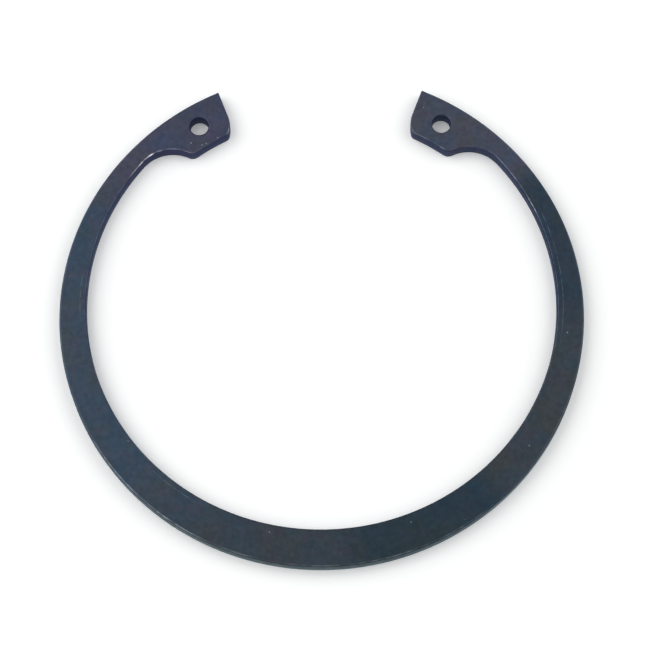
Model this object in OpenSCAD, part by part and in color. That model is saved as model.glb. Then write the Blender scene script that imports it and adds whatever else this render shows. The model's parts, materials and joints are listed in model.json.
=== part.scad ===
// Internal circlip: a spring steel ring, stamped from sheet, that is squeezed into a groove inside a housing.
// It lies flat and relaxed. The origin is on the axis of its round outer edge, in the lower face,
// and the gap between the lugs opens towards +Y.

/* [Ring] */
// Diameter of the outer edge with the ring relaxed
free_d = 84.07; // [78:0.01:96]
// Thickness of the sheet
thick = 2.36; // [1.6:0.01:4]
// Radial width of the ring opposite the gap, where it is widest
back_section = 5.98; // [4.8:0.01:7]
// Radial width that the tapering ring would reach at the middle of the gap
gap_section = 2.42; // [2:0.01:3.2]
// Straight distance across the gap between the outer corners of the lugs
gap_w = 33.67; // [26:0.01:40]

/* [Lugs] */
// Radial height of the lugs, from the outer edge inwards
lug_h = 7.7; // [7:0.01:8.5]
// Radius of the nose of each lug, which is round about the plier hole
nose_r = 5.08; // [4.4:0.01:5.6]
// Rounding of the toe, where the nose meets the inner edge of the lug
toe_r = 1; // [0.6:0.01:2.2]
// Distance from abreast of the plier hole to the heel, along the inner edge of the lug
heel_reach = 3.6; // [2.8:0.01:4.6]
// Rounding of the heel, where the lug turns into the hollow
heel_r = 1.5; // [0.6:0.01:3.2]
// Radius of the hollow between the heel and the inner edge of the ring
hollow_r = 6.07; // [4.6:0.01:8]

/* [Plier holes] */
// Diameter of the holes that take the tips of the pliers
hole_d = 3.05; // [2:0.01:4]
// Distance from the outer edge to the middle of each hole
hole_inset = 4; // [3.6:0.01:4.4]
// Distance from the outer corner of the lug to abreast of the hole, along the outer edge
hole_reach = 5.91; // [5.4:0.01:6.6]

/* [Edges] */
// Width of the 45 degree break on every edge of both faces
edge_break = 0.15; // [0.05:0.01:0.3]

/* [Hidden] */

// How far the cutters run past the faces and past the outer edge
past = 0.3;
// Arcs that blend into a neighbour run this far past it, so that they cross it at a slight angle
cross = 0.01;

outer_r = free_d / 2;
// The inner edge is one circle, set off towards the gap, which gives the ring its taper
inner_r = outer_r - (back_section + gap_section) / 2;
inner_c = [0, (back_section - gap_section) / 2];
lug_in_r = outer_r - lug_h;

// Angles are measured at the axis from the middle of the gap, positive towards +X
corner_angle = asin(gap_w / 2 / outer_r);
hole_angle = corner_angle + arc_angle(hole_reach, outer_r);
heel_angle = hole_angle + arc_angle(heel_reach, lug_in_r);

// Points of the lug on the +X side
corner = polar(outer_r, corner_angle);
hole_c = polar(outer_r - hole_inset, hole_angle);
heel = polar(lug_in_r, heel_angle);
hollow_c = meet(inner_c, inner_r - hollow_r + cross, heel, hollow_r, -1);
toe_c = meet([0, 0], lug_in_r + toe_r, hole_c, nose_r - toe_r, 1);
heel_c = meet([0, 0], lug_in_r + heel_r, hollow_c, hollow_r + heel_r, 1);

// The straight end of the lug runs from its outer corner and grazes the nose
end_angle = atan2(corner.x - hole_c.x, corner.y - hole_c.y)
          + asin((nose_r - cross) / norm(corner - hole_c));
end_normal = [cos(end_angle), -sin(end_angle)];

function polar(r, angle) = [r * sin(angle), r * cos(angle)];
function arc_angle(length, r) = length / r * 180 / PI;
function unit(v) = v / norm(v);
// Where the circles (a, ra) and (b, rb) cross: side 1 is left of the way from a to b, -1 is right of it
function meet(a, ra, b, rb, side) =
    let (d = norm(b - a))
    let (along = (d ^ 2 + ra ^ 2 - rb ^ 2) / (2 * d))
    let (off = sqrt(ra ^ 2 - along ^ 2))
    let (way = unit(b - a))
    a + along * way + side * off * [-way.y, way.x];

// A round post whose radius changes at 45 degrees within edge_break of the faces:
// lean 1 widens it there, for a cutter, and lean -1 narrows it, for what is kept
module post(c, r, lean) {
    face_r = r + lean * (edge_break + past);
    translate([c.x, c.y, 0])
        rotate_extrude($fn = r > 10 ? 360 : 72)
            polygon([
                [0, -past], [face_r, -past], [r, edge_break],
                [r, thick - edge_break], [face_r, thick + past], [0, thick + past]
            ]);
}

// A prism over the given points that runs past both faces
module prism(points) {
    translate([0, 0, -past])
        linear_extrude(thick + 2 * past)
            polygon(points);
}

// The blank: a round plate with broken edges
module blank() {
    intersection() {
        post([0, 0], outer_r, -1);
        cylinder(r = outer_r + past, h = thick, $fn = 360);
    }
}

// What lies inside the offset inner edge, up to the two hollows
module inner_cut() {
    to_hollow = 2 * outer_r * unit(hollow_c - inner_c);
    difference() {
        post(inner_c, inner_r, 1);
        prism([
            inner_c, inner_c + to_hollow,
            [0, 3 * outer_r], inner_c + [-to_hollow.x, to_hollow.y]
        ]);
    }
}

// The half of the gap beside the straight end of the lug
module end_cut() {
    gap_half = norm(corner - [0, outer_r]);
    translate([corner.x, corner.y, 0])
        rotate([90, 0, -end_angle])
            translate([0, 0, -outer_r / 4])
                linear_extrude(outer_r * 3 / 4)
                    polygon([
                        [-gap_half, -past], [edge_break + past, -past], [0, edge_break],
                        [0, thick - edge_break], [edge_break + past, thick + past],
                        [-gap_half, thick + past]
                    ]);
}

// What lies outside the nose, between the straight end and the inner edge of the lug
module nose_cut() {
    to_gap = -2 * nose_r * end_normal;
    to_axis = -2 * nose_r * unit(hole_c);
    difference() {
        prism([hole_c, hole_c + to_gap, hole_c + to_gap + to_axis, hole_c + to_axis]);
        post(hole_c, nose_r, -1);
    }
}

// The tip that rounding a corner takes off: c is the middle of the rounding,
// and to_a and to_b point from there squarely to the two edges
module tip_cut(c, r, to_a, to_b) {
    difference() {
        prism([c, c + 2 * r * unit(to_a), c + 2 * r * unit(to_b)]);
        post(c, r + cross, -1);
    }
}

// Everything that is cut from the blank to shape the lug on the +X side
module lug_cuts() {
    end_cut();
    nose_cut();
    tip_cut(toe_c, toe_r, toe_c - hole_c, -toe_c);
    tip_cut(heel_c, heel_r, -heel_c, hollow_c - heel_c);
    post(hollow_c, hollow_r, 1);
    post(hole_c, hole_d / 2, 1);
}

module retaining_ring() {
    color([0.24, 0.26, 0.32])
        difference() {
            blank();
            inner_cut();
            post([0, 0], lug_in_r, 1);
            for (side = [0, 1])
                mirror([side, 0, 0])
                    lug_cuts();
        }
}

retaining_ring();
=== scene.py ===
import json
import math

import bpy
import numpy as np
from mathutils import Matrix, Vector, noise
from mathutils.geometry import delaunay_2d_cdt


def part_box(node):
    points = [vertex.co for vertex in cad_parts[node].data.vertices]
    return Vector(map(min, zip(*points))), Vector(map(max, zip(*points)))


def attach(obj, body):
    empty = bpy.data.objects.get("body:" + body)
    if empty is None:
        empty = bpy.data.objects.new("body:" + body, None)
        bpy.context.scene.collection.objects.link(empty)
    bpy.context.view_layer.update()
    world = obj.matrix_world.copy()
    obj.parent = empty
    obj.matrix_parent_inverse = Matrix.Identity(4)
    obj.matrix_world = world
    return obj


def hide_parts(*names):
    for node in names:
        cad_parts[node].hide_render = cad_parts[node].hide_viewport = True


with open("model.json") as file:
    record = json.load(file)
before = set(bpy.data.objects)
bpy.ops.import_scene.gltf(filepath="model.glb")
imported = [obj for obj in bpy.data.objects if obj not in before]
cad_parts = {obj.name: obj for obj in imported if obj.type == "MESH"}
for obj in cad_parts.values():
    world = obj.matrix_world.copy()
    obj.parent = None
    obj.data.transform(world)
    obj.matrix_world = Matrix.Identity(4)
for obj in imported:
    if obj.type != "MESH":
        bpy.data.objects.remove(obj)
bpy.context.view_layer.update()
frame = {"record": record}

mm = 0.001  # sizes below are in millimetres, the scene is in metres


# Camera: looks down on the ring from the side away from its gap
view = {
    "lens": 127.38,  # on a sensor 36 wide
    "distance": 370.12,  # from the aim point
    "tilt": 19.19,  # degrees away from straight down, towards -Y
    "turn": 0.98,  # degrees about the vertical
    "roll": -1.46,  # degrees about the line of sight
    "aim": (0.537, -1.727, 0.0),
}


def placeCamera():
    turned = Matrix.Rotation(math.radians(view["turn"]), 3, "Z")
    tilt = math.radians(view["tilt"])
    back = turned @ Vector((0, -math.sin(tilt), math.cos(tilt)))
    side = turned @ Vector((1, 0, 0))
    up = back.cross(side)
    rolled = Matrix.Rotation(math.radians(view["roll"]), 3, back)
    data = bpy.data.cameras.new("photoCamera")
    data.sensor_width = 36
    data.lens = view["lens"]
    data.clip_start = 0.01
    data.clip_end = 50
    camera = bpy.data.objects.new("photoCamera", data)
    bpy.context.scene.collection.objects.link(camera)
    axes = Matrix((rolled @ side, rolled @ up, back)).transposed()
    place = (Vector(view["aim"]) + back * view["distance"]) * mm
    camera.matrix_world = Matrix.Translation(place) @ axes.to_4x4()
    bpy.context.scene.camera = camera


placeCamera()
print("camera placed")


# Studio: a pale room, a large soft box on either side, a weak one in front, a white table
studio = {
    "roomColour": (0.985, 1.0, 1.0),
    "roomStrength": 0.45,
    "softBoxes": {  # place, size and watts
        "leftBox": ((-620, 160, 560), 1000, 4.9),
        "rightBox": ((620, 160, 560), 1000, 3.2),
        "frontBox": ((-330, -420, 760), 600, 0.5),
    },
    "tableColour": (0.96, 0.96, 0.96),
    "tableLift": 0.10,  # glow that only the camera, gloss and glass see
    "tableSize": 6000,
    "tableFade": (250, 600),  # distances over which the table turns into the white backdrop
}


def addNode(tree, kind, x, y, **settings):
    node = tree.nodes.new(kind)
    node.location = (x, y)
    for name, value in settings.items():
        setattr(node, name, value)
    return node


def seenDirectly(tree, x, y):
    # 1 for what the camera, a gloss or a glass sees, 0 for light that falls on things
    path = addNode(tree, "ShaderNodeLightPath", x, y)
    both = addNode(tree, "ShaderNodeMath", x + 180, y, operation="MAXIMUM")
    tree.links.new(path.outputs["Is Camera Ray"], both.inputs[0])
    tree.links.new(path.outputs["Is Glossy Ray"], both.inputs[1])
    seen = addNode(tree, "ShaderNodeMath", x + 360, y, operation="MAXIMUM")
    tree.links.new(both.outputs[0], seen.inputs[0])
    tree.links.new(path.outputs["Is Transmission Ray"], seen.inputs[1])
    return seen.outputs[0]


def buildRoom():
    world = bpy.data.worlds.new("paleRoom")
    world.use_nodes = True
    tree = world.node_tree
    tree.nodes.clear()
    room = addNode(tree, "ShaderNodeBackground", 0, 0)
    room.inputs["Color"].default_value = (*studio["roomColour"], 1)
    room.inputs["Strength"].default_value = studio["roomStrength"]
    backdrop = addNode(tree, "ShaderNodeBackground", 0, -160)
    backdrop.inputs["Color"].default_value = (1, 1, 1, 1)
    backdrop.inputs["Strength"].default_value = 1.0
    pick = addNode(tree, "ShaderNodeMixShader", 220, 0)
    tree.links.new(seenDirectly(tree, -400, 200), pick.inputs[0])
    tree.links.new(room.outputs[0], pick.inputs[1])
    tree.links.new(backdrop.outputs[0], pick.inputs[2])
    out = addNode(tree, "ShaderNodeOutputWorld", 420, 0)
    tree.links.new(pick.outputs[0], out.inputs["Surface"])
    bpy.context.scene.world = world


def buildSoftBoxes():
    for name, (place, size, power) in studio["softBoxes"].items():
        data = bpy.data.lights.new(name, "AREA")
        data.shape = "SQUARE"
        data.size = size * mm
        data.energy = power
        box = bpy.data.objects.new(name, data)
        bpy.context.scene.collection.objects.link(box)
        box.location = Vector(place) * mm
        box.rotation_euler = (-box.location).to_track_quat("-Z", "Y").to_euler()


def buildTable():
    half = studio["tableSize"] / 2 * mm
    low = -0.01 * mm  # a hair below the ring, so that the two never share a plane
    mesh = bpy.data.meshes.new("table")
    corners = [(-half, -half, low), (half, -half, low), (half, half, low), (-half, half, low)]
    mesh.from_pydata(corners, [], [(0, 1, 2, 3)])
    table = bpy.data.objects.new("table", mesh)
    bpy.context.scene.collection.objects.link(table)

    paint = bpy.data.materials.new("tableWhite")
    paint.use_nodes = True
    tree = paint.node_tree
    tree.nodes.clear()
    white = addNode(tree, "ShaderNodeBsdfDiffuse", 0, 0)
    white.inputs["Color"].default_value = (*studio["tableColour"], 1)
    glow = addNode(tree, "ShaderNodeEmission", 0, -160)
    lift = addNode(tree, "ShaderNodeMath", -200, -160, operation="MULTIPLY")
    lift.inputs[1].default_value = studio["tableLift"]
    seen = seenDirectly(tree, -800, -160)
    tree.links.new(seen, lift.inputs[0])
    tree.links.new(lift.outputs[0], glow.inputs["Strength"])
    near = addNode(tree, "ShaderNodeAddShader", 220, 0)
    tree.links.new(white.outputs[0], near.inputs[0])
    tree.links.new(glow.outputs[0], near.inputs[1])

    coords = addNode(tree, "ShaderNodeTexCoord", -800, 300)
    away = addNode(tree, "ShaderNodeVectorMath", -600, 300, operation="LENGTH")
    tree.links.new(coords.outputs["Object"], away.inputs[0])
    fade = addNode(tree, "ShaderNodeMapRange", -400, 300, interpolation_type="SMOOTHSTEP")
    tree.links.new(away.outputs["Value"], fade.inputs["Value"])
    fade.inputs["From Min"].default_value = studio["tableFade"][0] * mm
    fade.inputs["From Max"].default_value = studio["tableFade"][1] * mm
    isFar = addNode(tree, "ShaderNodeMath", -200, 300, operation="MULTIPLY")
    tree.links.new(fade.outputs["Result"], isFar.inputs[0])
    tree.links.new(seen, isFar.inputs[1])
    backdrop = addNode(tree, "ShaderNodeEmission", 220, -200)
    blendOut = addNode(tree, "ShaderNodeMixShader", 420, 0)
    tree.links.new(isFar.outputs[0], blendOut.inputs[0])
    tree.links.new(near.outputs[0], blendOut.inputs[1])
    tree.links.new(backdrop.outputs[0], blendOut.inputs[2])
    out = addNode(tree, "ShaderNodeOutputMaterial", 620, 0)
    tree.links.new(blendOut.outputs[0], out.inputs["Surface"])
    mesh.materials.append(paint)


buildRoom()
buildSoftBoxes()
buildTable()
print("room, soft boxes and table built")


# The ring: its outer radius, thickness and plier holes come from the frame
ring = {
    "backSection": 5.98,  # radial width opposite the gap
    "gapSection": 2.42,  # radial width it would taper to at the gap
    "gapWidth": 33.67,
    "lugHeight": 7.7,
    "noseRadius": 5.08,
    "toeRadius": 1.0,
    "heelReach": 3.6,
    "heelRadius": 1.5,
    "hollowRadius": 6.07,
    "cornerRadius": 0.21,  # outer corner of each lug, seen from above
    "cornerRoom": 0.05,  # how far the roll may reach in at that corner
    "cornerEase": 0.45,  # and how fast it widens away from it
    "topRoll": 0.28,  # rounding between the upper face and the walls
    "bottomRoll": 0.12,
    "rollSteps": 6,
    "faceStep": 0.06,  # flat strip that keeps the faces' shading flat
    "wallSteps": 13,
    "tearShare": 0.4,  # share of the thickness that tore when it was stamped
    "tearWander": 0.07,
    "tearWaves": 0.55,  # how quickly that share wanders along the wall
    "tearBlend": 0.16,  # height over which the sheared wall turns into the torn one
    "tearFoot": 0.2,  # height over which the torn wall comes back out to the lower roll
    "tearDepth": 0.03,
    "tearGrain": 0.006,
    "grainWaves": (9, 7),  # along the wall and up it
    "pointGap": 0.36,  # between points along the outline, less on small arcs
    "arcShare": 0.16,  # of the radius of a small arc
    "holeGap": 0.16,
    "faceGap": 1.1,  # between the points that fill the faces
    "rimShare": 0.55,  # of that gap, which is kept clear along every rim
    "tolerance": 0.01,
}

# The order in which the ring's materials are added
slots = {"face": 0, "outerWall": 1, "innerWall": 2, "innerRoll": 3}

# Where the edges are rubbed bright: place, reach and strength of each spot. The spots at the left root, the
# left nose and the right limb are painted glints, and the other spots are rubbing that is partly painted
# highlight
rubAndGlints = {
    "peak": 0.6,  # below 1, most of the rubbing and painted glint is on the half of the roll that is near the face
    "narrow": 4,  # the higher, the thinner the bright line
    "everywhere": 0.035,
    "holes": 0.0,
    "spots": {
        "leftRoot": ((-28.6, 26.2), 3.2, 0.32),
        "leftRootHigh": ((-26.6, 28.2), 0.45, 1.5),
        "leftRootMiddle": ((-27.8, 27.2), 0.5, 1.6),
        "leftRootLow": ((-29.2, 25.7), 0.5, 1.5),
        "leftHollow": ((-24.2, 29.6), 1.8, 0.3),
        "leftHeel": ((-21.3, 28.2), 1.3, 0.36),
        "leftNose": ((-14.9, 31.2), 0.6, 0.5),
        "rightNose": ((16.0, 30.2), 2.4, 0.10),
        "rightHeel": ((20.2, 28.0), 0.5, 0.35),
        "rightHollow": ((22.5, 29.5), 4.0, 0.07),
        "rightRoot": ((30.5, 23.6), 3.0, 0.22),
        "rightLimb": ((34.1, 18.0), 2.6, 0.32),
        "lowerLeft": ((-33, -28), 6, 0.22),
        "backLeft": ((-25, -36), 6, 0.28),
        "backMiddle": ((-14, -42), 6, 0.14),
        "backMost": ((-2, -44), 7, 0.11),
        "backRight": ((11, -42), 7, 0.13),
        "lowerRight": ((22, -37), 6, 0.12),
    },
}


def polar(radius, angle):
    return Vector((radius * math.sin(angle), radius * math.cos(angle)))


def meet(a, ra, b, rb, side):
    # where two circles cross: side 1 is left of the way from a to b, -1 is right of it
    way = (b - a).normalized()
    distance = (b - a).length
    along = (distance ** 2 + ra ** 2 - rb ** 2) / (2 * distance)
    off = math.sqrt(ra ** 2 - along ** 2)
    return a + along * way + side * off * Vector((-way.y, way.x))


def arc(centre, radius, start, finish, hollow=False):
    # points with outward normals from start up to finish, clockwise where the edge is hollow
    first = math.atan2(start.y - centre.y, start.x - centre.x)
    last = math.atan2(finish.y - centre.y, finish.x - centre.x)
    turn = (last - first) % (2 * math.pi)
    if hollow:
        turn -= 2 * math.pi
    gap = min(ring["pointGap"], radius * ring["arcShare"])
    count = max(3, math.ceil(abs(turn) * radius / gap))
    points = []
    for i in range(count):
        angle = first + turn * i / count
        away = Vector((math.cos(angle), math.sin(angle)))
        points.append((centre + radius * away, -away if hollow else away))
    return points


def line(start, finish, normal):
    count = math.ceil((finish - start).length / ring["pointGap"])
    return [(start.lerp(finish, i / count), normal) for i in range(count)]


def rightHalf(outerR, hole):
    # from the back of the outer edge, round the lug, to the back of the inner edge
    axis = Vector((0, 0))
    innerR = outerR - (ring["backSection"] + ring["gapSection"]) / 2
    innerC = Vector((0, (ring["backSection"] - ring["gapSection"]) / 2))
    lugR = outerR - ring["lugHeight"]
    noseR = ring["noseRadius"]
    toeR = ring["toeRadius"]
    heelR = ring["heelRadius"]
    hollowR = ring["hollowRadius"]
    roundR = ring["cornerRadius"]

    corner = polar(outerR, math.asin(ring["gapWidth"] / 2 / outerR))
    heel = polar(lugR, math.atan2(hole.x, hole.y) + ring["heelReach"] / lugR)
    hollow = meet(innerC, innerR - hollowR, heel, hollowR, -1)
    toe = meet(axis, lugR + toeR, hole, noseR - toeR, 1)
    heelC = meet(axis, lugR + heelR, hollow, hollowR + heelR, 1)

    # the straight end leaves the corner and grazes the nose
    reach = corner - hole
    lean = math.atan2(reach.x, reach.y) + math.asin(noseR / reach.length)
    square = Vector((-math.cos(lean), math.sin(lean)))
    along = Vector((square.y, -square.x))
    if along.dot(hole - corner) < 0:
        along = -along
    graze = hole + noseR * square

    # the small rounding between the outer edge and the straight end
    inset = corner - roundR * square
    half = inset.dot(along)
    slide = -half - math.sqrt(half ** 2 - inset.length_squared + (outerR - roundR) ** 2)
    if slide < 0:
        slide = -half + math.sqrt(half ** 2 - inset.length_squared + (outerR - roundR) ** 2)
    roundC = inset + slide * along

    onOuter = roundC.normalized() * outerR
    onEnd = roundC + roundR * square
    noseToe = hole + (toe - hole).normalized() * noseR
    toeLug = toe.normalized() * lugR
    lugHeel = heelC.normalized() * lugR
    heelHollow = hollow + (heelC - hollow).normalized() * hollowR
    hollowInner = innerC + (hollow - innerC).normalized() * innerR

    points = arc(axis, outerR, Vector((0, -outerR)), onOuter)
    points += arc(roundC, roundR, onOuter, onEnd)
    points += line(onEnd, graze, square)
    points += arc(hole, noseR, graze, noseToe)
    points += arc(toe, toeR, noseToe, toeLug)
    points += arc(axis, lugR, toeLug, lugHeel, hollow=True)
    points += arc(heelC, heelR, lugHeel, heelHollow)
    points += arc(hollow, hollowR, heelHollow, hollowInner, hollow=True)
    back = innerC - Vector((0, innerR))
    points += arc(innerC, innerR, hollowInner, back, hollow=True)
    points.append((back, Vector((0, 1))))
    return points


def wholeOutline(outerR, hole):
    right = rightHalf(outerR, hole)
    left = [(Vector((-p.x, p.y)), Vector((-n.x, n.y))) for p, n in reversed(right[1:-1])]
    return right + left


def holeLoop(centre, radius):
    count = math.ceil(2 * math.pi * radius / ring["holeGap"])
    loop = []
    for i in range(count):
        away = Vector((math.cos(-2 * math.pi * i / count), math.sin(-2 * math.pi * i / count)))
        loop.append((centre + radius * away, -away))
    return loop


def wallProfile(thick, tear, room):
    # steps of (inset, height, rub, torn) from the upper face down to the lower one
    flat = ring["topRoll"] + ring["faceStep"]
    ease = min(1, room / flat)
    steps = [(flat * ease, thick, 0.0, 0.0)]
    for i in range(ring["rollSteps"] + 1):
        share = i / ring["rollSteps"]
        angle = math.pi / 2 * share
        inset = ring["topRoll"] * (1 - math.sin(angle)) * ease
        fall = ring["topRoll"] * (1 - math.cos(angle))
        # where the rub sits across the roll, which also places the painted glints
        worn = math.sin(math.pi * share ** rubAndGlints["peak"]) ** rubAndGlints["narrow"]
        steps.append((inset, thick - fall, worn, 0.0))
    top = thick - ring["topRoll"]
    bottom = ring["bottomRoll"]
    along, upward = ring["grainWaves"]
    for i in range(1, ring["wallSteps"]):
        height = top + (bottom - top) * i / ring["wallSteps"]
        share = min(1, max(0, (tear - height) / ring["tearBlend"]))
        torn = share * share * (3 - 2 * share)
        foot = min(1, (height - bottom) / ring["tearFoot"])
        rough = ring["tearGrain"] * noise.noise((tear * along, height * upward, 0))
        steps.append((torn * foot * (ring["tearDepth"] + rough), height, 0.0, torn))
    for i in range(ring["rollSteps"] + 1):
        angle = math.pi / 2 * i / ring["rollSteps"]
        inset = ring["bottomRoll"] * (1 - math.cos(angle))
        rise = ring["bottomRoll"] * (1 - math.sin(angle))
        steps.append((inset, rise, math.sin(2 * angle), 1.0))
    steps.append((ring["bottomRoll"] + ring["faceStep"], 0.0, 0.0, 0.0))
    return steps


def rubAndGlintAt(p, isHole):
    # how much an edge has been rubbed and painted with glints: a little everywhere, more at a few spots
    if isHole:
        return rubAndGlints["holes"]
    level = rubAndGlints["everywhere"]
    for place, reach, strength in rubAndGlints["spots"].values():
        away = (p - Vector(place)).length / reach
        level = max(level, strength * math.exp(-away * away))
    return level


def insideLoops(points, loops):
    # which points have material under them, by counting edges crossed
    points = np.array(points)
    inside = np.zeros(len(points), bool)
    for loop in loops:
        edge = np.array([(p.x, p.y) for p in loop])
        after = np.roll(edge, -1, axis=0)
        for (ax, ay), (bx, by) in zip(edge, after):
            spans = (ay > points[:, 1]) != (by > points[:, 1])
            if spans.any():
                crossing = ax + (points[:, 1] - ay) * (bx - ax) / (by - ay)
                inside ^= spans & (points[:, 0] < crossing)
    return inside


def facePoints(loops, outerR):
    # an even grid of points inside the face, kept off its edges
    gap = ring["faceGap"]
    rowGap = gap * 0.866  # rows of equal triangles
    edge = np.array([(p.x, p.y) for loop in loops for p in loop])
    grid = []
    rows = math.ceil(outerR / rowGap)
    for row in range(-rows, rows + 1):
        for column in range(-rows, rows + 1):
            x = (column + 0.5 * (row % 2)) * gap
            y = row * rowGap
            if math.hypot(x, y) < outerR:
                grid.append((x, y))
    clear = (gap * ring["rimShare"]) ** 2
    kept = []
    for point, isIn in zip(grid, insideLoops(grid, loops)):
        if isIn and np.min(np.sum((edge - point) ** 2, axis=1)) > clear:
            kept.append(Vector(point))
    return kept


def addWall(shape, outline, outerR, thick, isHole):
    # a closed wall with its rolled edges, which hands back its rims in the upper and the lower face
    corner = polar(outerR, math.asin(ring["gapWidth"] / 2 / outerR))
    waves = ring["tearWaves"]
    columns = []
    for p, n in outline:
        wander = noise.fractal(Vector((p.x * waves, p.y * waves, 3.1)), 1.0, 2.0, 3)
        tear = thick * (ring["tearShare"] + ring["tearWander"] * wander)
        # the roll narrows at the lugs' small outer corners, so that it never folds over itself
        room = ring["cornerRoom"] + ring["cornerEase"] * (Vector((abs(p.x), p.y)) - corner).length
        columns.append(wallProfile(thick, tear, room))

    count = len(outline)
    levels = len(columns[0])
    start = len(shape["points"])
    for level in range(levels):
        for (p, n), column in zip(outline, columns):
            inset, height, worn, ripped = column[level]
            flat = p - n * inset
            shape["points"].append((flat.x * mm, flat.y * mm, height * mm))
            shape["rubAndGlintLevel"].append(worn * rubAndGlintAt(p, isHole))
            shape["torn"].append(ripped)

    firstWall = ring["rollSteps"] + 1
    lastWall = firstWall + ring["wallSteps"] - 1
    for level in range(levels - 1):
        upper = start + level * count
        lower = upper + count
        for i in range(count):
            j = (i + 1) % count
            shape["faces"].append((lower + i, lower + j, upper + j, upper + i))
            isOuter = outline[i][0].length > outerR - ring["tolerance"]
            if firstWall <= level <= lastWall:
                slot = "outerWall" if isOuter else "innerWall"
            elif isOuter or level in (0, levels - 2):
                slot = "face"  # flat strips, and the outer edge's rolls
            else:
                slot = "innerRoll"
            shape["slots"].append(slots[slot])
    end = len(shape["points"])
    return range(start, start + count), range(end - count, end)


def rimPoints(shape, rims):
    points = shape["points"]
    return [[Vector((points[i][0] / mm, points[i][1] / mm)) for i in rim] for rim in rims]


def fillFace(shape, rims, inner, height, isTop):
    # triangles between the rims, over a few points inside
    loops = rimPoints(shape, rims)
    ids = [i for rim in rims for i in rim]
    flat = [point for loop in loops for point in loop]
    edges = []
    for loop in loops:
        first = len(edges)
        edges += [(first + i, first + (i + 1) % len(loop)) for i in range(len(loop))]
    for point in inner:
        ids.append(len(shape["points"]))
        shape["points"].append((point.x * mm, point.y * mm, height * mm))
        shape["rubAndGlintLevel"].append(0.0)
        shape["torn"].append(0.0)
        flat.append(point)
    places, _, triangles, origins, _, _ = delaunay_2d_cdt(flat, edges, [], 0, 1e-7)
    middles = [sum((places[i] for i in t), Vector((0, 0))) / 3 for t in triangles]
    for triangle, isIn in zip(triangles, insideLoops(middles, loops)):
        if isIn:
            face = [ids[origins[i][0]] for i in triangle]
            shape["faces"].append(tuple(face) if isTop else tuple(reversed(face)))
            shape["slots"].append(slots["face"])


def buildRing(outerR, thick):
    mounts = {mount["name"]: mount for mount in frame["record"]["mounts"]}
    right = Vector(mounts["plier_hole_right"]["pos_m"][:2]) / mm
    left = Vector(mounts["plier_hole_left"]["pos_m"][:2]) / mm
    holeR = mounts["plier_hole_right"]["dims"]["r_mm"]

    shape = {"points": [], "rubAndGlintLevel": [], "torn": [], "faces": [], "slots": []}
    rims = [addWall(shape, wholeOutline(outerR, right), outerR, thick, False)]
    rims += [addWall(shape, holeLoop(hole, holeR), outerR, thick, True) for hole in (right, left)]
    upperRims = [upper for upper, lower in rims]
    lowerRims = [lower for upper, lower in rims]
    inner = facePoints(rimPoints(shape, upperRims), outerR)
    fillFace(shape, upperRims, inner, thick, True)
    fillFace(shape, lowerRims, inner, 0.0, False)

    mesh = bpy.data.meshes.new("springRing")
    mesh.from_pydata(shape["points"], [], shape["faces"])
    mesh.polygons.foreach_set("material_index", shape["slots"])
    mesh.polygons.foreach_set("use_smooth", [True] * len(shape["faces"]))
    for name, values in (("edgeRubAndGlints", shape["rubAndGlintLevel"]), ("tornWall", shape["torn"])):
        attribute = mesh.attributes.new(name, "FLOAT", "POINT")
        attribute.data.foreach_set("value", values)
    mesh.validate()
    mesh.update()
    piece = bpy.data.objects.new("springRing", mesh)
    bpy.context.scene.collection.objects.link(piece)
    return piece


low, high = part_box("retaining_ring")
outerRadius = (high.x - low.x) / 2 / mm
thickness = (high.z - low.z) / mm
springRing = buildRing(outerRadius, thickness)
print("ring built:", len(springRing.data.polygons), "faces")


# Finish: blue-black oxide over spring steel, rubbed bright along its edges, with painted glints on the edges
# and painted sheen and shade in its broad tone
oxide = {
    "tone": (0.032, 0.0405, 0.0485),
    "stainsAndSheen": {  # place, reach and colour of each broad patch: the oxide's own drift, with painted sheen where it is lighter and painted shade where it is darker
        # lighter on the left limb and the lugs, darker at the right shoulder and lower right: painted sheen
        # and painted shade over the oxide's own drift
        "leftLimb": ((-41, 0, 2), 50, (0.033, 0.046, 0.062)),
        "leftLug": ((-23, 32, 2), 24, (0.041, 0.047, 0.072)),
        "rightLug": ((24, 31, 2), 16, (0.045, 0.052, 0.071)),
        "rightShoulder": ((39, 11, 2), 15, (0.023, 0.034, 0.047)),
        "lowerRight": ((17, -37, 2), 17, (0.020, 0.032, 0.042)),
    },
    "casts": ((0.87, 1.00, 1.12), (1.07, 1.00, 0.91), (1.13, 0.97, 1.06)),  # blue, slate, violet
    "patch": 7.0,  # size of the patches of another cast
    "cloud": 0.17,
    "torn": (0.12, 0.165, 0.18),
    # bright steel of the rubbed edges, which also paints the glints
    "steel": (0.80, 0.83, 0.87),
    "fleck": (0.24, 0.26, 0.30),
    "fleckSpacing": 1.7,
    "fleckSize": 0.17,
    "fleckShare": 0.18,
    "dieLine": (0.075, 0.09, 0.11),
    "dieLineInset": 0.93,  # from the inner edge
    "dieLineWidth": 0.10,
    "dieLineSeen": {  # place and reach of the stretches where it still shows
        "rightLimb": ((38.2, 6.5, 2.36), 15),
        "leftLimb": ((-38.9, 3.2, 2.36), 4),
        "lowerLeft": ((-24.3, -29.5, 2.36), 6),
    },
    "roughness": 0.40,
    "unevenness": 0.05,  # of the roughness
    "tooth": 0.006,
    "wave": 0.01,
    "grazing": (0.50, 0.54, 0.62),  # what the faces turn to at a flat angle
    "rollGrazing": (0.22, 0.24, 0.30),
    "rollTint": (0.85, 0.86, 0.95),  # over the faces' colour
}

# What stamping leaves on every wall
stamping = {
    "patch": 4.0,
    "cloud": 0.16,
    "tooth": 0.008,
    "markWaves": 6.0,  # upright drag marks, in waves for each millimetre
    "markStretch": (1, 1, 0.06),
    "markDepth": 0.014,
    "rougher": 0.04,
    "tornRougher": 0.12,
}

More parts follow.
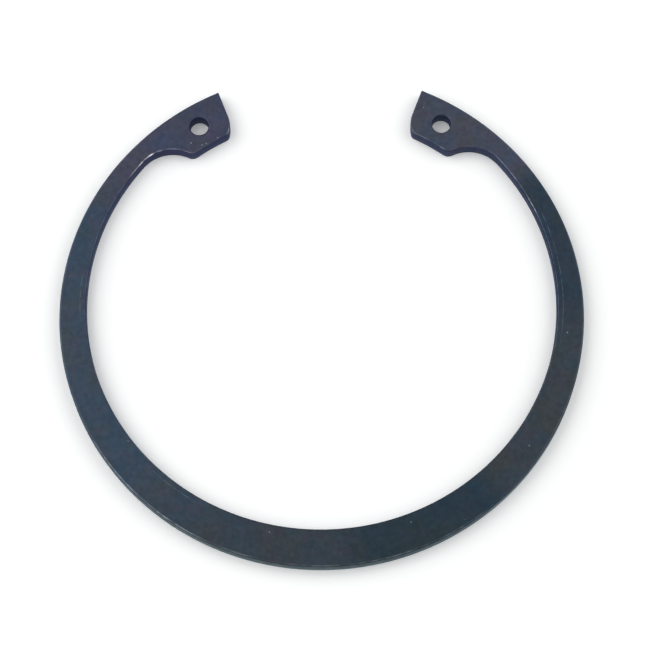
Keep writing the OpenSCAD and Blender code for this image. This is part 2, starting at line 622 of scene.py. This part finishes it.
# The two kinds of wall: tint over the faces' colour, colour at a flat angle, how plainly the torn band
# shows. The outer wall is painted lighter, as if lit from the front, and the inner wall is painted darker,
# as shade
wallsLitAndShaded = {
    # lighter tint and grazing colour, and the plainer torn band: painted light from the front
    "outerWall": {"tint": (1.15, 1.20, 1.18), "grazing": (0.80, 0.92, 0.96), "torn": 1.0},
    # darker, bluer tint and grazing colour: painted shade
    "innerWall": {"tint": (0.92, 0.93, 1.13), "grazing": (0.62, 0.66, 0.86), "torn": 0.3},
}

# Small bright nicks on the left lug's upper face: place and reach
nicks = {
    "leftHeelA": ((-21.26, 29.36, 2.36), 0.12),
    "leftHeelB": ((-19.45, 29.0, 2.36), 0.11),
    "leftHeelC": ((-18.75, 29.25, 2.36), 0.11),
    "leftHeelD": ((-16.9, 30.3, 2.36), 0.09),
}


def newGroup(name, inputs, outputs):
    group = bpy.data.node_groups.new(name, "ShaderNodeTree")
    for label, kind, value in inputs:
        socket = group.interface.new_socket(label, in_out="INPUT", socket_type="NodeSocket" + kind)
        if value is not None:
            socket.default_value = value
    for label, kind in outputs:
        group.interface.new_socket(label, in_out="OUTPUT", socket_type="NodeSocket" + kind)
    start = addNode(group, "NodeGroupInput", -900, 0)
    finish = addNode(group, "NodeGroupOutput", 900, 0)
    return group, start, finish


def feed(tree, socket, value):
    # a socket takes a number, a colour or vector, or another node's output
    if isinstance(value, (int, float)):
        socket.default_value = value
    elif isinstance(value, tuple):
        socket.default_value = value if socket.type == "VECTOR" else (*value, 1)
    else:
        tree.links.new(value, socket)


def noiseAt(tree, vector, scale, x, y, detail=2.0, rough=0.5):
    # scale is in waves for each millimetre
    node = addNode(tree, "ShaderNodeTexNoise", x, y)
    feed(tree, node.inputs["Vector"], vector)
    feed(tree, node.inputs["Scale"], scale)
    node.inputs["Detail"].default_value = detail
    node.inputs["Roughness"].default_value = rough
    return node.outputs["Fac"]


def maths(tree, operation, a, b, x, y):
    node = addNode(tree, "ShaderNodeMath", x, y, operation=operation)
    feed(tree, node.inputs[0], a)
    feed(tree, node.inputs[1], b)
    return node.outputs[0]


def spread(tree, value, low, high, toLow, toHigh, x, y):
    node = addNode(tree, "ShaderNodeMapRange", x, y, interpolation_type="SMOOTHSTEP")
    feed(tree, node.inputs["Value"], value)
    for name, limit in zip(("From Min", "From Max", "To Min", "To Max"), (low, high, toLow, toHigh)):
        feed(tree, node.inputs[name], limit)
    return node.outputs["Result"]


def blend(tree, factor, a, b, x, y, kind="MIX"):
    node = addNode(tree, "ShaderNodeMix", x, y, data_type="RGBA", blend_type=kind)
    feed(tree, node.inputs[0], factor)
    feed(tree, node.inputs[6], a)
    feed(tree, node.inputs[7], b)
    return node.outputs[2]


def moved(tree, vector, offset, x, y):
    node = addNode(tree, "ShaderNodeVectorMath", x, y, operation="ADD")
    feed(tree, node.inputs[0], vector)
    feed(tree, node.inputs[1], offset)
    return node.outputs[0]


def farFrom(tree, vector, centre, x, y):
    node = addNode(tree, "ShaderNodeVectorMath", x, y, operation="DISTANCE")
    feed(tree, node.inputs[0], vector)
    feed(tree, node.inputs[1], centre)
    return node.outputs["Value"]


def useGroup(tree, group, x, y, **values):
    node = addNode(tree, "ShaderNodeGroup", x, y, node_tree=group)
    for name, value in values.items():
        feed(tree, node.inputs[name.replace("_", " ")], value)
    return node


def makeSoftSpot():
    # 1 within half of the reach of a centre, fading to 0 at the reach, with a wandering rim
    tree, start, finish = newGroup(
        "softSpot",
        [("Place", "Vector", None), ("Centre", "Vector", None), ("Reach", "Float", 10.0),
         ("Wander", "Float", 0.0)],
        [("Mask", "Float")])
    place = start.outputs["Place"]
    away = farFrom(tree, place, start.outputs["Centre"], -600, 200)
    waves = maths(tree, "SUBTRACT", noiseAt(tree, place, 0.12, -800, 0, 3.0, 0.6), 0.5, -600, 0)
    shift = maths(tree, "MULTIPLY", waves, start.outputs["Wander"], -400, 0)
    rim = maths(tree, "ADD", away, shift, -200, 100)
    half = maths(tree, "MULTIPLY", start.outputs["Reach"], 0.5, -400, -200)
    mask = spread(tree, rim, half, start.outputs["Reach"], 1.0, 0.0, 100, 0)
    tree.links.new(mask, finish.inputs["Mask"])
    return tree


softSpot = makeSoftSpot()


def makeToneAndPaintedSheen():
    # the oxide's colour, drifting from one broad patch to the next, with painted sheen and painted shade in
    # those patches
    tree, start, finish = newGroup("toneAndPaintedSheen", [("Place", "Vector", None)], [("Colour", "Color")])
    shade = oxide["tone"]
    for i, (centre, reach, colour) in enumerate(oxide["stainsAndSheen"].values()):
        spot = useGroup(tree, softSpot, -600, 200 - i * 180, Place=start.outputs["Place"],
                        Centre=centre, Reach=reach, Wander=8.0)
        shade = blend(tree, spot.outputs["Mask"], shade, colour, -400 + i * 200, 0)
    tree.links.new(shade, finish.inputs["Colour"])
    return tree


def makeOxideTint():
    # mottling of the oxide: slow patches of another cast, and a fine cloud
    tree, start, finish = newGroup(
        "oxideTint",
        [("Place", "Vector", None), ("Tone", "Color", (0.04, 0.05, 0.07, 1)),
         ("Patch Size", "Float", 6.0), ("Cloud", "Float", 0.12)],
        [("Colour", "Color")])
    place = start.outputs["Place"]
    blue, slate, violet = oxide["casts"]
    scale = maths(tree, "DIVIDE", 1.0, start.outputs["Patch Size"], -800, 200)
    broad = noiseAt(tree, place, scale, -600, 200, 3.0, 0.6)
    cast = blend(tree, spread(tree, broad, 0.35, 0.65, 0.0, 1.0, -400, 200), blue, slate, -200, 200)
    finer = maths(tree, "MULTIPLY", scale, 2.3, -800, 0)
    spots = noiseAt(tree, moved(tree, place, (31.0, -17.0, 4.0), -800, -150), finer, -600, 0, 3.0, 0.6)
    cast = blend(tree, spread(tree, spots, 0.45, 0.7, 0.0, 1.0, -400, 0), cast, violet, 0, 100)
    shade = blend(tree, 1.0, start.outputs["Tone"], cast, 200, 100, "MULTIPLY")
    cloudy = noiseAt(tree, moved(tree, place, (3.0, 8.0, 1.0), -800, -300), 1.1, -600, -300, 5.0, 0.7)
    centred = maths(tree, "SUBTRACT", cloudy, 0.5, -400, -300)
    swing = maths(tree, "MULTIPLY", centred, start.outputs["Cloud"], -200, -300)
    dapple = maths(tree, "ADD", maths(tree, "MULTIPLY", swing, 5.0, 0, -300), 1.0, 100, -200)
    shade = blend(tree, 1.0, shade, dapple, 400, 0, "MULTIPLY")
    tree.links.new(shade, finish.inputs["Colour"])
    return tree


def makeEdgeRubAndGlints():
    # bright steel where the rolled edges have been rubbed, and painted glints, in broken lengths
    tree, start, finish = newGroup(
        "edgeRubAndGlints",
        [("Place", "Vector", None), ("Edge", "Float", 0.0), ("Amount", "Float", 1.0),
         ("Break Size", "Float", 1.6)],
        [("RubAndGlint", "Float")])
    scale = maths(tree, "DIVIDE", 1.0, start.outputs["Break Size"], -700, 0)
    broken = noiseAt(tree, start.outputs["Place"], scale, -500, 0, 4.0, 0.65)
    reach = spread(tree, broken, 0.36, 0.66, 0.2, 1.0, -320, 0)
    level = maths(tree, "MULTIPLY", reach, start.outputs["Amount"], -140, 0)
    rubAndGlintLevel = maths(tree, "MULTIPLY", start.outputs["Edge"], level, 60, 0)
    tree.links.new(rubAndGlintLevel, finish.inputs["RubAndGlint"])
    return tree


def makeFlecks():
    # sparse specks where grit has marked the oxide: Share is the part of the cells that hold one
    tree, start, finish = newGroup(
        "flecks",
        [("Place", "Vector", None), ("Spacing", "Float", 2.0), ("Size", "Float", 0.1),
         ("Share", "Float", 0.1)],
        [("Mask", "Float")])
    cells = addNode(tree, "ShaderNodeTexVoronoi", -500, 0)
    tree.links.new(start.outputs["Place"], cells.inputs["Vector"])
    tree.links.new(maths(tree, "DIVIDE", 1.0, start.outputs["Spacing"], -700, 0), cells.inputs["Scale"])
    away = maths(tree, "MULTIPLY", cells.outputs["Distance"], start.outputs["Spacing"], -300, 0)
    half = maths(tree, "MULTIPLY", start.outputs["Size"], 0.5, -300, -160)
    dot = spread(tree, away, half, start.outputs["Size"], 1.0, 0.0, -100, 0)
    draw = addNode(tree, "ShaderNodeSeparateColor", -300, -320)
    tree.links.new(cells.outputs["Color"], draw.inputs[0])
    held = maths(tree, "LESS_THAN", draw.outputs[0], start.outputs["Share"], -100, -320)
    strength = maths(tree, "MULTIPLY", held, draw.outputs[1], 100, -320)
    tree.links.new(maths(tree, "MULTIPLY", dot, strength, 300, 0), finish.inputs["Mask"])
    return tree


def makeDieLine():
    # a hair-thin circle that the die pressed, worn away in places
    tree, start, finish = newGroup(
        "dieLine",
        [("Place", "Vector", None), ("Centre", "Vector", None), ("Radius", "Float", 38.0),
         ("Width", "Float", 0.1), ("Left", "Float", 1.0)],
        [("Mask", "Float")])
    place = start.outputs["Place"]
    away = farFrom(tree, place, start.outputs["Centre"], -600, 100)
    beside = maths(tree, "SUBTRACT", away, start.outputs["Radius"], -400, 100)
    off = maths(tree, "ABSOLUTE", beside, 0.0, -200, 100)
    ridge = spread(tree, off, 0.0, start.outputs["Width"], 1.0, 0.0, 0, 100)
    waves = noiseAt(tree, place, 0.8, -600, -150, 3.0, 0.7)
    faded = spread(tree, waves, 0.40, 0.6, 0.1, 1.0, -200, -150)
    level = maths(tree, "MULTIPLY", faded, start.outputs["Left"], 0, -150)
    tree.links.new(maths(tree, "MULTIPLY", ridge, level, 300, 0), finish.inputs["Mask"])
    return tree


def makeSatinGrain():
    # fine tooth of the oxide over the slow waves of the rolled strip, in millimetres
    tree, start, finish = newGroup(
        "satinGrain",
        [("Place", "Vector", None), ("Tooth", "Float", 0.004), ("Wave", "Float", 0.012)],
        [("Height", "Float"), ("Unevenness", "Float")])
    place = start.outputs["Place"]
    fine = noiseAt(tree, place, 7.0, -500, 200, 3.0, 0.6)
    tooth = maths(tree, "MULTIPLY", fine, start.outputs["Tooth"], -300, 200)
    slow = noiseAt(tree, place, 0.22, -500, 0, 2.0, 0.5)
    wave = maths(tree, "MULTIPLY", slow, start.outputs["Wave"], -300, 0)
    tree.links.new(maths(tree, "ADD", tooth, wave, -100, 100), finish.inputs["Height"])
    uneven = noiseAt(tree, place, 0.6, -500, -200, 4.0, 0.6)
    tree.links.new(spread(tree, uneven, 0.3, 0.7, -1.0, 1.0, -300, -200), finish.inputs["Unevenness"])
    return tree


toneAndPaintedSheen = makeToneAndPaintedSheen()
oxideTint = makeOxideTint()
edgeRubAndGlints = makeEdgeRubAndGlints()
flecks = makeFlecks()
dieLine = makeDieLine()
satinGrain = makeSatinGrain()


def startMaterial(name):
    paint = bpy.data.materials.new(name)
    paint.use_nodes = True
    tree = paint.node_tree
    tree.nodes.clear()
    coords = addNode(tree, "ShaderNodeTexCoord", -1700, 0)
    scaled = addNode(tree, "ShaderNodeVectorMath", -1500, 0, operation="SCALE")
    scaled.inputs["Scale"].default_value = 1 / mm
    tree.links.new(coords.outputs["Object"], scaled.inputs[0])
    steel = addNode(tree, "ShaderNodeBsdfPrincipled", 500, 0)
    out = addNode(tree, "ShaderNodeOutputMaterial", 800, 0)
    tree.links.new(steel.outputs[0], out.inputs["Surface"])
    return paint, tree, scaled.outputs[0], steel


# mixes in bright steel for the rubbed edges and for the painted glints
def rubbedEdgesAndGlints(tree, place, colour, x, y):
    edge = addNode(tree, "ShaderNodeAttribute", x - 400, y - 200, attribute_name="edgeRubAndGlints")
    rubAndGlintLevel = useGroup(tree, edgeRubAndGlints, x - 200, y - 100, Place=place, Edge=edge.outputs["Fac"], Amount=1.0)
    return blend(tree, rubAndGlintLevel.outputs["RubAndGlint"], colour, oxide["steel"], x, y)


def finishSteel(tree, steel, colour, roughness, height, grazing):
    bump = addNode(tree, "ShaderNodeBump", 260, -300)
    bump.inputs["Strength"].default_value = 1.0
    bump.inputs["Distance"].default_value = mm
    tree.links.new(height, bump.inputs["Height"])
    tree.links.new(bump.outputs[0], steel.inputs["Normal"])
    tree.links.new(colour, steel.inputs["Base Color"])
    tree.links.new(roughness, steel.inputs["Roughness"])
    steel.inputs["Metallic"].default_value = 1.0
    steel.inputs["Specular Tint"].default_value = (*grazing, 1)


def oxideAndPaintedLightColour(tree, place, patch, cloud, tint=None):
    # the drifting tone with its painted sheen and shade, a tint over it where there is one (on the walls,
    # painted light and shade), and the mottling
    tone = useGroup(tree, toneAndPaintedSheen, -1300, 300, Place=place).outputs["Colour"]
    if tint:
        tone = blend(tree, 1.0, tone, tint, -1100, 400, "MULTIPLY")
    mottled = useGroup(tree, oxideTint, -900, 300, Place=place, Tone=tone, Patch_Size=patch, Cloud=cloud)
    return mottled.outputs["Colour"]


def satinSurface(tree, place, tooth):
    # height of the grain, and how far the roughness strays from its mean
    grain = useGroup(tree, satinGrain, -900, -300, Place=place, Tooth=tooth, Wave=oxide["wave"])
    stray = maths(tree, "MULTIPLY", grain.outputs["Unevenness"], oxide["unevenness"], -600, -300)
    return grain.outputs["Height"], stray


def markFace(tree, place, colour):
    # specks and nicks, and what is left of the die's circle
    grit = useGroup(tree, flecks, -900, 600, Place=place, Spacing=oxide["fleckSpacing"],
                    Size=oxide["fleckSize"], Share=oxide["fleckShare"])
    specks = grit.outputs["Mask"]
    for i, (centre, reach) in enumerate(nicks.values()):
        nick = useGroup(tree, softSpot, -900, 800 + i * 200, Place=place, Centre=centre, Reach=reach)
        specks = maths(tree, "MAXIMUM", specks, nick.outputs["Mask"], -700 + i * 60, 700)
    colour = blend(tree, specks, colour, oxide["fleck"], -400, 300)

    left = 0.0
    for i, (centre, reach) in enumerate(oxide["dieLineSeen"].values()):
        seen = useGroup(tree, softSpot, -900, -600 - i * 200, Place=place, Centre=centre, Reach=reach)
        left = maths(tree, "MAXIMUM", left, seen.outputs["Mask"], -700 + i * 60, -600)
    offset = (ring["backSection"] - ring["gapSection"]) / 2
    innerRadius = outerRadius - (ring["backSection"] + ring["gapSection"]) / 2
    mark = useGroup(tree, dieLine, -400, 600, Place=place, Centre=(0.0, offset, thickness),
                    Radius=innerRadius + oxide["dieLineInset"], Width=oxide["dieLineWidth"], Left=left)
    return blend(tree, mark.outputs["Mask"], colour, oxide["dieLine"], -100, 300)


def makeFaceMaterial():
    paint, tree, place, steel = startMaterial("blackOxideFace")
    colour = oxideAndPaintedLightColour(tree, place, oxide["patch"], oxide["cloud"])
    colour = rubbedEdgesAndGlints(tree, place, colour, -700, 300)
    colour = markFace(tree, place, colour)
    height, stray = satinSurface(tree, place, oxide["tooth"])
    roughness = maths(tree, "ADD", stray, oxide["roughness"], -400, -300)
    finishSteel(tree, steel, colour, roughness, height, oxide["grazing"])
    return paint


def makeRollMaterial():
    # the rolled inner edges, dark where the oxide is whole, bright where it is rubbed off and where glints
    # are painted
    paint, tree, place, steel = startMaterial("blackOxideInnerRoll")
    colour = oxideAndPaintedLightColour(tree, place, oxide["patch"], oxide["cloud"], oxide["rollTint"])
    colour = rubbedEdgesAndGlints(tree, place, colour, -400, 300)
    height, stray = satinSurface(tree, place, oxide["tooth"])
    roughness = maths(tree, "ADD", stray, oxide["roughness"], -400, -300)
    finishSteel(tree, steel, colour, roughness, height, oxide["rollGrazing"])
    return paint


def makeWallMaterial(name):
    wall = wallsLitAndShaded[name]
    paint, tree, place, steel = startMaterial("blackOxide" + name[0].upper() + name[1:])
    colour = oxideAndPaintedLightColour(tree, place, stamping["patch"], stamping["cloud"], wall["tint"])

    # upright drag marks that the stamping leaves
    drawn = addNode(tree, "ShaderNodeVectorMath", -1100, -500, operation="MULTIPLY")
    tree.links.new(place, drawn.inputs[0])
    drawn.inputs[1].default_value = stamping["markStretch"]
    marks = noiseAt(tree, drawn.outputs[0], stamping["markWaves"], -900, -500, 3.0, 0.6)

    # the lower band, where the steel tore instead of being cut, is greyer and rougher
    band = addNode(tree, "ShaderNodeAttribute", -1100, 0, attribute_name="tornWall")
    broken = spread(tree, marks, 0.3, 0.6, 0.35 * wall["torn"], wall["torn"], -700, -200)
    torn = maths(tree, "MULTIPLY", band.outputs["Fac"], broken, -600, 0)
    colour = blend(tree, torn, colour, oxide["torn"], -500, 300)
    colour = rubbedEdgesAndGlints(tree, place, colour, -200, 300)

    grain, stray = satinSurface(tree, place, stamping["tooth"])
    depth = maths(tree, "MULTIPLY", marks, stamping["markDepth"], -500, -500)
    height = maths(tree, "ADD", depth, grain, -300, -500)
    rougher = maths(tree, "MULTIPLY", torn, stamping["tornRougher"], -500, -150)
    strayed = maths(tree, "ADD", stray, rougher, -400, -250)
    roughness = maths(tree, "ADD", strayed, oxide["roughness"] + stamping["rougher"], -200, -300)
    finishSteel(tree, steel, colour, roughness, height, wall["grazing"])
    return paint


finishes = {
    "face": makeFaceMaterial(),
    "outerWall": makeWallMaterial("outerWall"),
    "innerWall": makeWallMaterial("innerWall"),
    "innerRoll": makeRollMaterial(),
}
for slotName in slots:
    springRing.data.materials.append(finishes[slotName])
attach(springRing, "root")
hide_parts("retaining_ring")
print("finish on")

bpy.context.scene.view_settings.view_transform = "Standard"
